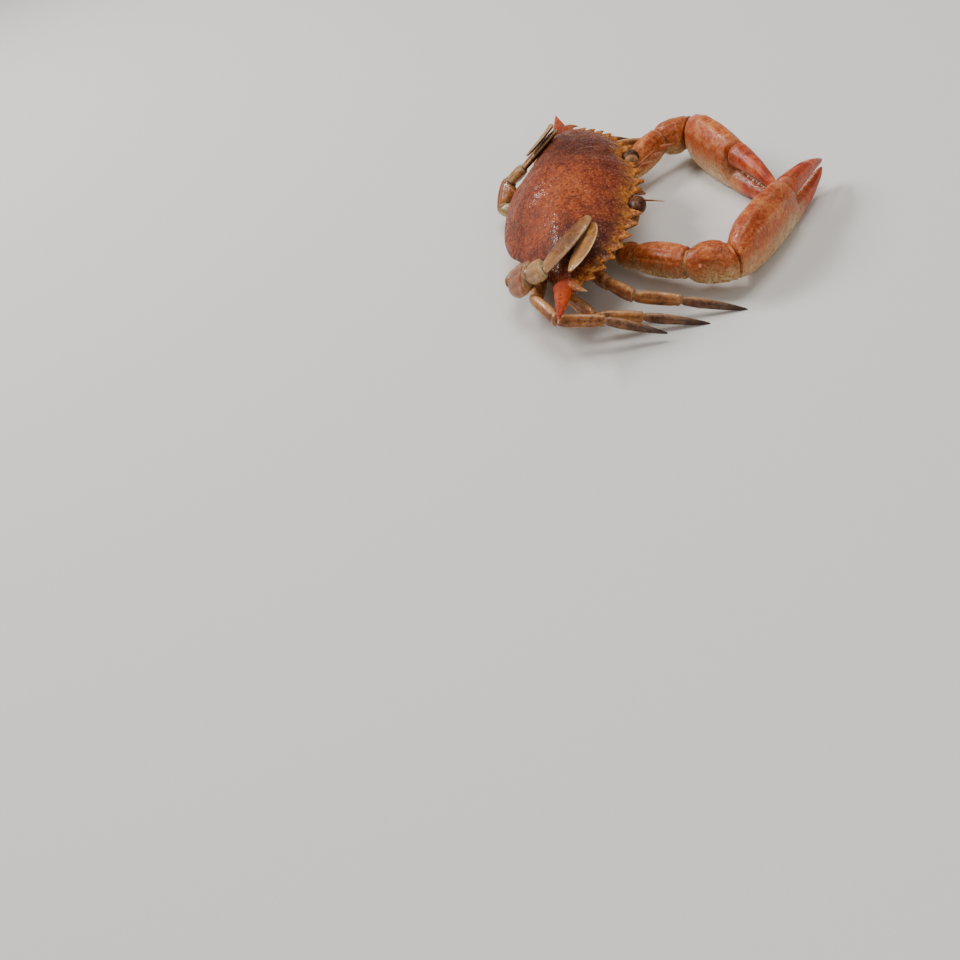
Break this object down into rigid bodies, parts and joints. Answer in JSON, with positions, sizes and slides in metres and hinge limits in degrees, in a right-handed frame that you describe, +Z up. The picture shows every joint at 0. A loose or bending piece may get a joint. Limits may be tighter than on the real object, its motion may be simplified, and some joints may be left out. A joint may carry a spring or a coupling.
{
  "type": "blue crab",
  "caption": "Life-size still model of a swimming crab with a wide spined shell, two claws, walking legs and a folded paddle leg each side.",
  "frame": {"origin": "on the floor under the middle of the belly, at the centre of the flat the body rests on", "axes": "+X to the crab's right, +Y forwards out of the mouth, +Z up from the floor"},
  "size_m": [0.166, 0.1296, 0.0356],
  "materials": {
    "shell": "wet gloss over fine granules, red-brown with orange",
    "underside": "satin, pale cream",
    "eye": "gloss, near black",
    "feeler": "satin, horn yellow",
    "claw": "wet gloss, orange-red over cream",
    "claw_finger": "wet gloss, red",
    "leg": "wet gloss, olive-tan to orange",
    "leg_tip": "wet gloss, grey-brown",
    "paddle": "wet gloss, tan with a pale rim"
  },
  "bodies": {
    "root": {"carapace": "shell", "underbody": "underside", "abdomen": "underside", "mouth_plate_left": "underside", "mouth_plate_right": "underside", "eye_left": "eye", "antenna_left": "feeler", "antennule_left": "feeler", "claw_ischium_left": "claw", "claw_merus_left": "claw", "claw_carpus_left": "claw", "claw_palm_left": "claw", "claw_finger_left": "claw_finger", "leg_2_merus_left": "leg", "leg_2_carpus_left": "leg", "leg_2_propodus_left": "leg", "leg_2_dactyl_left": "leg_tip", "leg_3_merus_left": "leg", "leg_3_carpus_left": "leg", "leg_3_propodus_left": "leg", "leg_3_dactyl_left": "leg_tip", "leg_4_merus_left": "leg", "leg_4_carpus_left": "leg", "leg_4_propodus_left": "leg", "leg_4_dactyl_left": "leg_tip", "swimming_leg_ischium_left": "leg", "swimming_leg_merus_left": "leg", "swimming_leg_carpus_left": "leg", "swimming_leg_propodus_left": "leg", "swimming_leg_paddle_left": "paddle", "eye_right": "eye", "antenna_right": "feeler", "antennule_right": "feeler", "claw_ischium_right": "claw", "claw_merus_right": "claw", "claw_carpus_right": "claw", "claw_palm_right": "claw", "claw_finger_right": "claw_finger", "leg_2_merus_right": "leg", "leg_2_carpus_right": "leg", "leg_2_propodus_right": "leg", "leg_2_dactyl_right": "leg_tip", "leg_3_merus_right": "leg", "leg_3_carpus_right": "leg", "leg_3_propodus_right": "leg", "leg_3_dactyl_right": "leg_tip", "leg_4_merus_right": "leg", "leg_4_carpus_right": "leg", "leg_4_propodus_right": "leg", "leg_4_dactyl_right": "leg_tip", "swimming_leg_ischium_right": "leg", "swimming_leg_merus_right": "leg", "swimming_leg_carpus_right": "leg", "swimming_leg_propodus_right": "leg", "swimming_leg_paddle_right": "paddle"}
  },
  "joints": []
}
